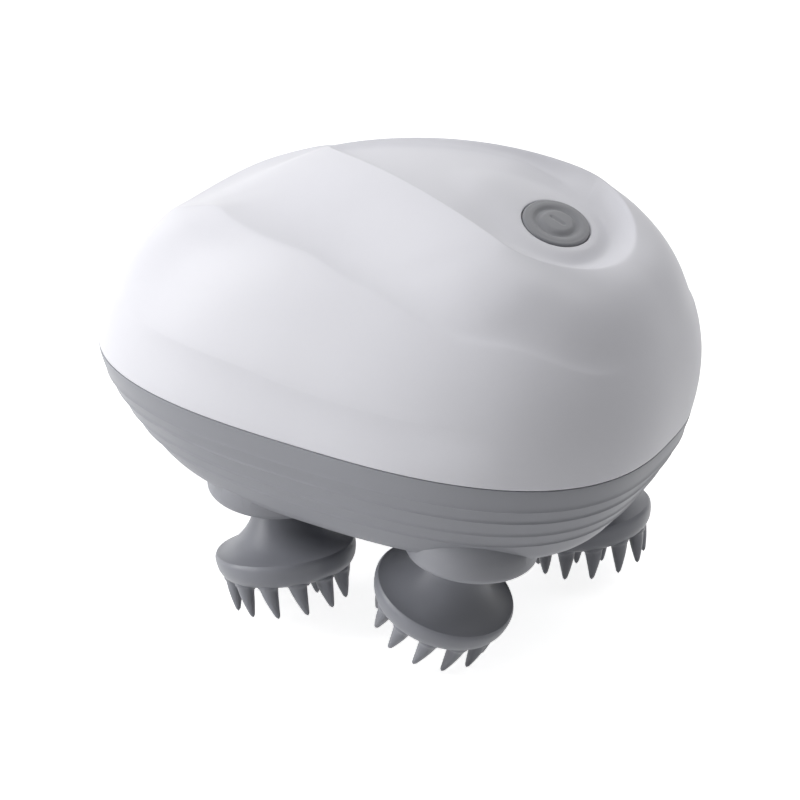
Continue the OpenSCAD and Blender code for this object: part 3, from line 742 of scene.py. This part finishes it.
def eased(pieces: Sequence[np.ndarray], counts: Sequence[int], rounding: Sequence[np.ndarray]) -> np.ndarray:
    """Runs rows of points over joined strips of a surface, with their meeting lines rounded.

    Rows lie closer together towards each meeting line. Each point is an average along the
    profile, and the width of that average is the rounding.

    Args:
        pieces: Strips of dense rows, each as rows, columns and axes, in order.
        counts: How many rows to lay over each strip.
        rounding: Half width in millimetres at each end of each strip, by column.

    Returns:
        The rows.
    """
    dense = np.concatenate(pieces)
    steps = np.linalg.norm(np.diff(dense, axis=0), axis=-1)
    arc = np.concatenate([np.zeros((1, dense.shape[1])), np.cumsum(steps, axis=0)])
    weight = np.zeros_like(arc)
    weight[:-1] += steps / 2
    weight[1:] += steps / 2
    ends = np.cumsum([len(piece) for piece in pieces]) - 1
    marks = [arc[0]] + [arc[end] for end in ends]
    targets, widths = [], []
    for number, count in enumerate(counts):
        u = (1 - np.cos(np.pi * np.arange(count) / count)) / 2
        targets.append(mix(marks[number], marks[number + 1], u[:, None]))
        widths.append(mix(rounding[number], rounding[number + 1], u[:, None]))
    target = np.concatenate(targets + [marks[-1][None]])
    width = np.concatenate(widths + [rounding[len(counts)][None]])
    rows = np.empty((len(target), dense.shape[1], 3))
    for column in range(dense.shape[1]):
        far = (target[:, column, None] - arc[None, :, column]) / width[:, column, None]
        share = np.exp(-0.5 * far ** 2) * weight[None, :, column]
        share /= share.sum(axis=1, keepdims=True)
        rows[:, column] = share @ dense[:, column]
    rows[0], rows[-1] = dense[0], dense[-1]
    return rows


@dataclass
class UpperShell:
    """The white upper half, with its relief, button well and wall."""

    columns: int = 432
    gap: float = 0.1
    post_rises: tuple = (32.7, 32.7, 28.2, 28.2)
    counts: tuple = (5, 15, 22, 32, 38)
    wardrobe: Wardrobe = field(default=None)

    def strips(self, t: np.ndarray) -> list[np.ndarray]:
        """Gives dense strips from the wall's lower face to the button seat.

        Args:
            t: Directions of the columns.

        Returns:
            The strips, lowest first.
        """
        foot = np.stack([CASE.dome(t, 0, inset) for inset in np.linspace(CASE.wall, 0, 24)])
        low = [CASE.skin_low(t, u + 0 * t) for u in np.linspace(0, 1, 60)]
        side = [CASE.skin_side(t, u + 0 * t) for u in np.linspace(0, 1, 80)[1:]]
        band = [CASE.skin_band(t, u + 0 * t) for u in np.linspace(0, 1, 120)[1:]]
        floor = [CASE.skin_floor(t, u + 0 * t) for u in np.linspace(0, 1, 140)[1:]]
        strips = [foot, np.stack(low[1:]), np.stack(side), np.stack(band), np.stack(floor)]
        for strip in strips[:2]:
            strip[..., 2] = np.maximum(strip[..., 2], CASE.part_z + self.gap)
        return strips

    def well(self, t: np.ndarray) -> np.ndarray:
        """Gives the rings of the button well, from the seat down to its mouth inside."""
        c, s = compass(t)
        up = CASE.seat_lift
        rings = [(0.6, up), (0.36, up - 0.03), (0.24, up - 0.1), (0.18, up - 0.25), (0.18, -0.6), (0.3, -0.8),
                 (0.3, -2.2), (1.4, -2.2), (1.4, -4.4), (3.4, -4.4), (3.7, -3.4)]
        rows = [level_ring((CASE.button_long + g) * c, (CASE.button_wide + g) * s, z) for g, z in rings]
        return placed(CASE.button_frame(), np.stack(rows))

    def lining(self, outer: np.ndarray) -> np.ndarray:
        """Gives the inner face of the wall, from the well to the foot.

        Args:
            outer: Rows of the outer face, from the foot up.

        Returns:
            Rows a wall's thickness inside it.
        """
        picked = outer[np.linspace(self.counts[0] + 3, len(outer) - 8, 22).astype(int)]
        for _ in range(2):
            picked[1:-1] = (picked[:-2] + 2 * picked[1:-1] + picked[2:]) / 4
        up = np.gradient(picked, axis=0)
        round_ = (np.roll(picked, -1, axis=1) - np.roll(picked, 1, axis=1)) / 2
        normal = np.cross(round_, up)
        normal /= np.linalg.norm(normal, axis=-1, keepdims=True)
        return (picked - CASE.wall * normal)[::-1]

    def build(self) -> bpy.types.Object:
        """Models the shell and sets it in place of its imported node."""
        t = directions(self.columns)
        a = from_nose(t)
        nose = 1 - blend(50, 92, a)
        rounding = [0.15 + 0 * t, 0.2 + 0 * t, 0.3 + 0 * t, mix(0.5, 0.35, nose), 0.35 + 0 * t, 0.15 + 0 * t]
        outer = eased(self.strips(t), self.counts, rounding)
        rows = np.concatenate([outer, self.well(t), self.lining(outer), outer[:1]])
        shell = weave("shell_top", rows)
        posts = [self.post(spot, rise) for spot, rise in zip(SCREW_SPOTS, self.post_rises)]
        front_posts, rear_posts = posts[:2], posts[2:]
        carve(shell, gather(rear_posts, "posts"), "UNION")
        carve(shell, PortPlug().cutter())
        shell = gather([shell, *front_posts], "shell_top")
        smooth(shell, 42)
        self.wardrobe.dress(shell, Slot.SHELL_WHITE)
        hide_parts("upper_shell")
        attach(shell, "case")
        return shell

    def post(self, spot: tuple, rise: float) -> bpy.types.Object:
        """Models one screw post, with its bore, up to where it meets the wall."""
        foot, top = CASE.part_z + self.gap, CASE.part_z + rise
        post = turn("post", [(1.2, foot + 8), (1.2, foot + 0.2), (1.35, foot), (3.0, foot),
                             (3.2, foot + 0.2), (3.2, top), (0, top), (0, foot + 9), (1.2, foot + 8)], 32)
        post.data.transform(at_spot(spot))
        return post


@dataclass
class LowerHousing:
    """The grey lower half, with lapped ribs and four round bosses."""

    columns: int = 384
    wardrobe: Wardrobe = field(default=None)
    rib_levels: tuple = (0.27, 0.43, 0.62, 0.78)
    boss_r: float = 12.8
    bore_r: float = 9.3
    face_rows: int = 501
    plain_from: int = 415

    def wall_face(self, t: np.ndarray) -> np.ndarray:
        """Gives the outer face from the parting line to the lower edge, ribs included."""
        places, proud, top = [0.0], [0.0], 0.0
        for level in self.rib_levels:
            for u in (0.5, 0.7, 0.8, 0.87, 0.92, 0.96, 0.985, 1.0):
                places.append(mix(top, level - 0.008, u))
                proud.append(0.25 * u + 0.75 * u ** 9)
            places.append(level)
            proud.append(0.0)
            top = level
        show = CASE.rib_proud * (1 - blend(124, 168, from_nose(t)))
        return np.stack([CASE.housing_ring(t, s, show * np.interp(s, places + [1.0], proud + [0.0]))
                         for s in np.linspace(0, 1, self.face_rows)])

    def strips(self, t: np.ndarray) -> list[np.ndarray]:
        """Gives dense strips from the lip of the wall down to the middle of the underside."""
        top = np.stack([CASE.housing_ring(t, 0, -inset) for inset in np.linspace(1.0, 0, 12)])
        face = self.wall_face(t)[1:]
        ribs, foot = face[:self.plain_from], face[self.plain_from:]
        rim = CASE.housing_ring(t, 1, -1)
        rim[:, 2] = CASE.under_z + 0.4
        flat = CASE.housing_ring(t, 1, -2.6)
        flat[:, 2] = CASE.under_z
        middle = np.zeros_like(flat) + (CASE.widest_x, 0, CASE.under_z)
        turn_in = np.stack([mix(face[-1], rim, u) for u in np.linspace(0, 1, 12)[1:]]
                           + [mix(rim, flat, u) for u in np.linspace(0, 1, 12)[1:]])
        under = np.stack([mix(flat, middle, u) for u in np.linspace(0, 1, 60)[1:]])
        return [top, ribs, foot, turn_in, under]

    def lining(self, t: np.ndarray) -> np.ndarray:
        """Gives the inner face from the middle of the floor up to the lip."""
        groove = CASE.housing_ring(t, 0, -1.0) - (0, 0, 1.2)
        rings = [CASE.housing_ring(t, 0, -CASE.wall) - (0, 0, 1.2)]
        rings += [CASE.housing_ring(t, s, -CASE.wall) for s in (0.35, 0.65, 0.85)]
        last = CASE.housing_ring(t, 0.95, -CASE.wall - 0.8)
        last[:, 2] = CASE.boss_z + 5
        middle = np.zeros_like(last) + (CASE.widest_x, 0, CASE.boss_z + 5)
        return np.stack([groove] + rings + [last, middle])[::-1]

    def boss(self) -> bpy.types.Object:
        """Models one boss: round lower edge, bore for the head's neck, and roof."""
        z = CASE.boss_z
        edge = [(self.boss_r - 1.5 + 1.5 * math.sin(a), z + 1.5 - 1.5 * math.cos(a))
                for a in np.radians(np.linspace(0, 90, 8))]
        lip = [(self.bore_r + 0.6 - 0.6 * math.sin(a), z + 0.6 - 0.6 * math.cos(a))
               for a in np.radians(np.linspace(90, 0, 6))]
        bore = [(4.0, z + 13.9), (4.0, z + 11.2), (6.0, z + 11.2), (6.0, z + 8.7),
                (self.bore_r - 0.5, z + 8.7), (self.bore_r, z + 8.2)]
        return turn("boss", bore + lip + edge + [(self.boss_r, z + 4.5), (self.boss_r - 2.4, z + 8.5),
                                                (9, z + 13.9), (4.0, z + 13.9)], 96)

    def screw_cutter(self) -> bpy.types.Object:
        """Models the tool that sinks one screw hole into the underside."""
        z = CASE.under_z
        return turn("sink", [(0, z - 1), (3.25, z - 1), (3.25, z), (3.0, z + 0.3), (3.0, z + 3.5),
                             (1.6, z + 3.5), (1.6, z + 6), (0, z + 6)], 40)

    def build(self) -> bpy.types.Object:
        """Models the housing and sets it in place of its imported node."""
        t = directions(self.columns)
        soft = [0.12, 0.12, 0.14, 1.1, 0.6, 0.1]
        outer = eased(self.strips(t), (4, 150, 26, 14, 16), [value + 0 * t for value in soft])
        housing = weave("housing_base", np.concatenate([outer, self.lining(t), outer[:1]]))
        boss = self.boss()
        for head_spot in HEAD_SPOTS:
            spot = at_spot(head_spot)
            core = turn("core", [(0, CASE.boss_z - 1), (self.bore_r + 0.8, CASE.boss_z - 1),
                                 (self.bore_r + 0.8, CASE.boss_z + 9), (0, CASE.boss_z + 9)], 96)
            core.data.transform(spot)
            carve(housing, core)
            carve(housing, copy_of(boss, "boss_copy", spot), "UNION")
        sink = self.screw_cutter()
        for screw_spot in SCREW_SPOTS:
            carve(housing, copy_of(sink, "sink_copy", at_spot(screw_spot)))
        discard(boss, sink)
        smooth(housing, 42)
        self.wardrobe.dress(housing, Slot.HOUSING_GREY)
        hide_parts("lower_housing")
        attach(housing, "case")
        return housing


@dataclass
class Button:
    """The oval silicone button with its ring groove, crowned middle and short bar."""

    wardrobe: Wardrobe = field(default=None)
    columns: int = 160
    height: float = 1.35
    flange: float = 1.0
    groove: tuple = (0.64, 0.11)
    bar: tuple = (2.3, 0.5)

    def face(self, x: np.ndarray, y: np.ndarray, edge: np.ndarray) -> np.ndarray:
        """Gives the height of the face at a place and a share of the way out to the edge."""
        middle, half = self.groove
        trough = 0.5 * np.exp(-(((edge - middle) / half) ** 2))
        crown = 0.16 * (1 - blend(0.1, 0.95, edge))
        inside = 0.12 * (1 - blend(middle - 0.2, middle + 0.02, edge))
        reach = np.hypot(np.maximum(np.abs(x) - self.bar[0] / 2, 0), y)
        mark = 0.24 * (1 - blend(self.bar[1] - 0.4, self.bar[1] + 0.35, reach))
        return self.height + crown + inside - trough - mark

    def build(self) -> bpy.types.Object:
        """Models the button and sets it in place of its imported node."""
        t = directions(self.columns)
        c, s = compass(t)

        def ring(grow: float, z: np.ndarray | float) -> np.ndarray:
            """Gives an oval ring at a height."""
            return level_ring((CASE.button_long + grow) * c, (CASE.button_wide + grow) * s, z)

        def round_ring(r: float, z: float) -> np.ndarray:
            """Gives a round ring of the stem."""
            return level_ring(r * c, r * s, z)

        rows = [round_ring(0, -6.2), round_ring(1.4, -6.2), round_ring(1.6, -6.0), round_ring(1.6, -3.2)]
        rows += [ring(-2.0, -3.2), ring(self.flange - 0.1, -3.2), ring(self.flange, -3.1),
                 ring(self.flange, -2.3), ring(self.flange - 0.1, -2.2), ring(0, -2.2), ring(0, 0.0)]
        bevel = 0.55
        for share in np.linspace(0, 1, 8):
            angle = share * math.pi / 2
            rows.append(ring(-bevel + bevel * math.cos(angle), self.height - 0.62 + bevel * math.sin(angle)))
        for edge in 1 - np.linspace(0.0, 1, 72)[1:] ** 1.05:
            x, y = (CASE.button_long - bevel) * c * edge, (CASE.button_wide - bevel) * s * edge
            lower = 0.07 * blend(0.88, 1.0, edge + 0 * t)
            rows.append(level_ring(x, y, self.face(x, y, edge + 0 * t) - lower))
        button = weave("button_pad", placed(CASE.button_frame(), np.stack(rows)))
        smooth(button, 50)
        self.wardrobe.dress(button, Slot.BUTTON_SILICONE)
        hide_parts("button")
        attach(button, "power_button")
        return button


@dataclass
class PortPlug:
    """The rubber plug of the charging port, a long rounded bar with a nail notch."""

    wardrobe: Wardrobe = field(default=None)
    half_gap: float = 3.1
    lean: float = 17.0
    centre: tuple = (-57.6, 0.0, 53.49)

    def matrix(self) -> np.ndarray:
        """Gives the port's frame: its middle on the tail's skin, and z outward."""
        turned = np.array(Matrix.Rotation(math.radians(self.lean - 90), 4, "Y"))
        turned[:3, 3] = self.centre
        return turned

    def ring(self, r: float, z: float, columns: int = 96) -> np.ndarray:
        """Gives one long rounded ring.

        Args:
            r: Radius of its ends.
            z: Its height in the port's frame.
            columns: Its number of points.

        Returns:
            The points.
        """
        t = directions(columns)
        c, s = compass(t)
        return level_ring(r * c, r * s + self.half_gap * np.sign(s) * min(1.0, r / 0.4), z)

    def solid(self, name: str, rings: Outline) -> bpy.types.Object:
        """Models a solid from rings of a radius and a height, closed at both ends."""
        first, last = rings[0], rings[-1]
        rows = [self.ring(0, first[1])] + [self.ring(r, z) for r, z in rings] + [self.ring(0, last[1])]
        return weave(name, placed(self.matrix(), np.stack(rows)))

    def cutter(self) -> bpy.types.Object:
        """Models the tool that opens the port in the shell."""
        return self.solid("port_tool", [(2.3, -6.0), (2.3, -1.2), (3.3, -1.2), (3.3, 0.3), (4.0, 3.0)])

    def build(self) -> bpy.types.Object:
        """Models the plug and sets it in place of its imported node."""
        plug = self.solid("port_cover", [
            (1.1, -7.0), (1.33, -6.8), (1.33, -3.9), (2.1, -3.9), (2.26, -3.7), (2.26, -1.2), (3.1, -1.2),
            (3.24, -1.1), (3.24, -0.25), (3.2, -0.1), (3.05, 0.0), (2.6, 0.04), (2.45, 0.0), (2.3, -0.06),
            (2.15, 0.0), (2.0, 0.04), (1.0, 0.05)])
        smooth(plug, 50)
        self.wardrobe.dress(plug, Slot.SEAL_RUBBER)
        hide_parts("port_plug")
        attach(plug, "case")
        return plug


@dataclass
class MassageHead:
    """One silicone head: bell, lip, rounded band, sole and two rings of claws."""

    name: str
    body: str
    spot: tuple
    lean: float
    hand: int
    wardrobe: Wardrobe = field(default=None)
    tilt: float = 15.5
    bend_z: float = 31.99
    rim_r: float = 14.0
    crease_at: float = 19.3
    sole_at: float = 23.6
    claw_length: float = 6.6

    def outline(self) -> list[tuple[float, float]]:
        """Gives the turned outline, from the mouth of the neck round to the mouth again."""
        points = [(3.7, 5.7), (3.9, 5.5), (4.8, 5.5), (5.0, 5.7)]
        for u in np.linspace(0, 1, 22):
            points.append((5 + (self.rim_r - 5.35) * u ** 1.9,
                           mix(8.2, self.crease_at - 0.75, 1 - (1 - u) ** 1.25)))
        band = ((0.22, -0.55), (0.08, -0.3), (0, 0), (0, 0.5), (0.06, 1.0), (0.18, 1.7), (0.38, 2.4),
                (0.68, 3.0), (1.05, 3.55), (1.5, 3.95), (2.0, 4.2))
        points += [(self.rim_r - inset, self.crease_at + drop) for inset, drop in band]
        points += [(r, self.sole_at) for r in (self.rim_r - 2.6, 7.8, 4.0, 0)]
        return points + [(0, 20.6), (11.1, 20.6), (11.1, 17.9), (3.7, 17.9), (3.7, 5.7)]

    def claw(self, length: float, scale: float, sweep: float) -> bpy.types.Object:
        """Models one curved claw that stands on the sole.

        Args:
            length: From the sole to the tip, in millimetres.
            scale: Thickness against a rim claw's.
            sweep: How far the tip is bent along the rim.

        Returns:
            The claw, its foot sunk in the sole.
        """
        root = 0.7
        t = directions(22)
        c, s = compass(t)
        rows = [level_ring(0 * t, 0 * t, -0.9)]
        levels = [-0.9, -0.3, 0.0, 0.2, 0.5, 1.0] + list(np.linspace(1.7, length - 0.5, 9))
        levels += [length - 0.28, length - 0.12, length - 0.03]
        for z in levels:
            u = max(0.0, z / length)
            tip = min(1.0, (length - z) / 0.5) ** 0.5
            thick = scale * (0.32 + 1.25 * (1 - u ** 1.7)) * tip
            wide = scale * (0.36 + 1.5 * (1 - u ** 1.25)) * tip
            if z < root:
                flare = scale * 0.3 * (1 - max(0.0, z) / root) ** 2
                thick += flare
                wide += flare
            lean = sweep * u ** 1.35
            rows.append(level_ring(thick * c, wide * s + lean, z))
        rows.append(level_ring(0 * t, sweep + 0 * t, length))
        return weave("claw", np.stack(rows))

    def build(self) -> bpy.types.Object:
        """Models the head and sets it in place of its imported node."""
        head = turn(self.name, self.outline(), 112)
        claws = []
        for count, radius, turned, length, scale, sweep in (
                (12, 11.0, 0.0, self.claw_length, 1.0, 1.3), (6, 5.2, 0.5, self.claw_length - 1, 0.85, 1.0)):
            master = self.claw(length, scale, sweep * self.hand)
            for number in range(count):
                place = (Matrix.Rotation(2 * math.pi * (number + turned) / count, 4, "Z")
                         @ Matrix.Translation((radius * MM, 0, self.sole_at * MM)))
                claws.append(copy_of(master, "claw_copy", place))
            discard(master)
        carve(head, gather(claws, "claws"), "UNION")
        place = (Matrix.Translation((self.spot[0] * MM, self.spot[1] * MM, self.bend_z * MM))
                 @ Matrix.Rotation(math.radians(self.lean), 4, "Z")
                 @ Matrix.Rotation(math.radians(180 - self.tilt), 4, "Y"))
        head.data.transform(place)
        smooth(head, 38)
        self.wardrobe.dress(head, Slot.HEAD_SILICONE)
        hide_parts(self.body.replace("_massage", ""))
        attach(head, self.body)
        return head


@dataclass(frozen=True)
class Lamp:
    """One soft area lamp, hung round the object by its turn and its height in degrees."""

    name: str
    turn: float
    height: float
    power: float
    size: float = 0.7
    far: float = 1.1

    def place(self, target: Vector) -> Vector:
        """Finds the spot the lamp hangs at.

        Args:
            target: What the lamp is aimed at.

        Returns:
            The lamp's place.
        """
        turn, height = math.radians(self.turn), math.radians(self.height)
        flat = self.far * math.cos(height)
        return target + Vector((flat * math.sin(turn), -flat * math.cos(turn), self.far * math.sin(height)))


@dataclass
class Studio:
    """Camera, lamps, pale surroundings and floor."""

    target: Colour = (0.001, 0.0, 0.045)
    lamps: tuple = (
        Lamp("left", 300.0, 32.0, 5.9),
        Lamp("right_high", 120.0, 60.0, 2.6),
        Lamp("top", 0.0, 88.0, 2.9),
        Lamp("rear_left", 210.0, 32.0, 0.6),
        Lamp("rear", 180.0, 32.0, 0.6),
        Lamp("left_low", 300.0, 8.0, 2.1, 0.3),
        Lamp("front_low", 330.0, 8.0, 1.8, 0.3),
        Lamp("rear_left_low", 240.0, 8.0, 0.2, 0.3),
    )
    camera_place: Colour = (0.17840, -0.38746, 0.24790)
    azimuth: float = 24.523
    elevation: float = 26.144
    roll: float = 4.827
    focal_px: float = 2365.0
    frame_px: float = 800.0
    floor_glow: float = 0.84
    world_level: float = 0.004

    def set_camera(self) -> None:
        """Places the camera where the photograph was taken from."""
        az, el, roll = (math.radians(v) for v in (self.azimuth, self.elevation, self.roll))
        back = Vector((math.sin(az) * math.cos(el), -math.cos(az) * math.cos(el), math.sin(el)))
        right = (-back).cross(Vector((0, 0, 1))).normalized()
        up = right.cross(-back)
        across = right * math.cos(roll) + up * math.sin(roll)
        upward = up * math.cos(roll) - right * math.sin(roll)
        data = bpy.data.cameras.new("camera")
        data.sensor_width = 36.0
        data.lens = self.focal_px * data.sensor_width / self.frame_px
        data.clip_start = 0.02
        camera = bpy.data.objects.new("camera", data)
        bpy.context.scene.collection.objects.link(camera)
        turned = Matrix((across, upward, back)).transposed().to_4x4()
        camera.matrix_world = Matrix.Translation(self.camera_place) @ turned
        bpy.context.scene.camera = camera

    def set_lamps(self) -> None:
        """Hangs the area lamps."""
        for lamp in self.lamps:
            data = bpy.data.lights.new(lamp.name, "AREA")
            data.shape = "DISK"
            data.size = lamp.size
            data.energy = lamp.power
            hung = bpy.data.objects.new(lamp.name, data)
            target = Vector(self.target)
            hung.location = lamp.place(target)
            hung.rotation_euler = (target - hung.location).to_track_quat("-Z", "Y").to_euler()
            bpy.context.scene.collection.objects.link(hung)

    def set_world(self) -> None:
        """Surrounds the object with a little pale light, and shows white behind it."""
        world = bpy.data.worlds.new("surroundings")
        bpy.context.scene.world = world
        world.use_nodes = True
        tree = world.node_tree
        tree.nodes.clear()
        light = tree.nodes.new("ShaderNodeBackground")
        light.inputs["Color"].default_value = (0.95, 0.97, 1.0, 1.0)
        light.inputs["Strength"].default_value = self.world_level
        white = tree.nodes.new("ShaderNodeBackground")
        white.inputs["Strength"].default_value = 1.0
        white.inputs["Color"].default_value = (1, 1, 1, 1)
        mixed = tree.nodes.new("ShaderNodeMixShader")
        out = tree.nodes.new("ShaderNodeOutputWorld")
        feed(tree, mixed.inputs[0], seen_rays(tree))
        tree.links.new(light.outputs[0], mixed.inputs[1])
        tree.links.new(white.outputs[0], mixed.inputs[2])
        tree.links.new(mixed.outputs[0], out.inputs["Surface"])

    def lay_floor(self) -> None:
        """Lays the pale floor, which shows white and keeps a soft shadow."""
        deselect()
        bpy.ops.mesh.primitive_plane_add(size=6.0, location=(0, 0, 0))
        floor = name_piece("floor")
        recipe = Recipe("floor_white")
        tree = recipe.tree
        grain = recipe.ramp(recipe.noise(30.0, 2.0), 0.3, 0.7)
        recipe.finish(Base_Color=recipe.blend(grain, (0.87, 0.87, 0.87, 1), (0.89, 0.89, 0.89, 1)),
                      Roughness=0.9)
        strength = seen_rays(tree) * self.floor_glow
        glow = recipe.node("ShaderNodeEmission", None, {"Color": (1, 1, 1, 1), "Strength": strength})
        both = tree.nodes.new("ShaderNodeAddShader")
        tree.links.new(recipe.shader.outputs[0], both.inputs[0])
        tree.links.new(glow.socket, both.inputs[1])
        tree.links.new(both.outputs[0], tree.nodes["Material Output"].inputs["Surface"])
        floor.data.materials.append(recipe.material)

    def build(self) -> None:
        """Sets up the whole studio."""
        bpy.context.scene.view_settings.view_transform = "Standard"
        self.set_camera()
        self.set_lamps()
        self.set_world()
        self.lay_floor()


HEADS = (
    ("front_right_kneader", "front_right_massage_head", HEAD_SPOTS[0], 168.0, 1),
    ("front_left_kneader", "front_left_massage_head", HEAD_SPOTS[1], 0.0, 1),
    ("rear_right_kneader", "rear_right_massage_head", HEAD_SPOTS[2], -21.0, -1),
    ("rear_left_kneader", "rear_left_massage_head", HEAD_SPOTS[3], 150.0, -1),
)


def write_sizes() -> None:
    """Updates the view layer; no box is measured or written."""
    bpy.context.view_layer.update()


def main() -> None:
    """Builds the studio and every piece in order."""
    logging.basicConfig(level=logging.INFO, format="%(message)s")
    Studio().build()
    wardrobe = Wardrobe()
    wardrobe.dress_nodes(frame["nodes"], Slot.ACETAL)
    pieces = [UpperShell(wardrobe=wardrobe).build(), LowerHousing(wardrobe=wardrobe).build(),
              Button(wardrobe=wardrobe).build(), PortPlug(wardrobe=wardrobe).build()]
    for name, body, spot, lean, hand in HEADS:
        pieces.append(MassageHead(name, body, spot, lean, hand, wardrobe).build())
    for piece in pieces:
        piece.data.validate()
        LOG.info("built %s with %d faces", piece.name, len(piece.data.polygons))
    write_sizes()


if __name__ == "__main__":
    main()
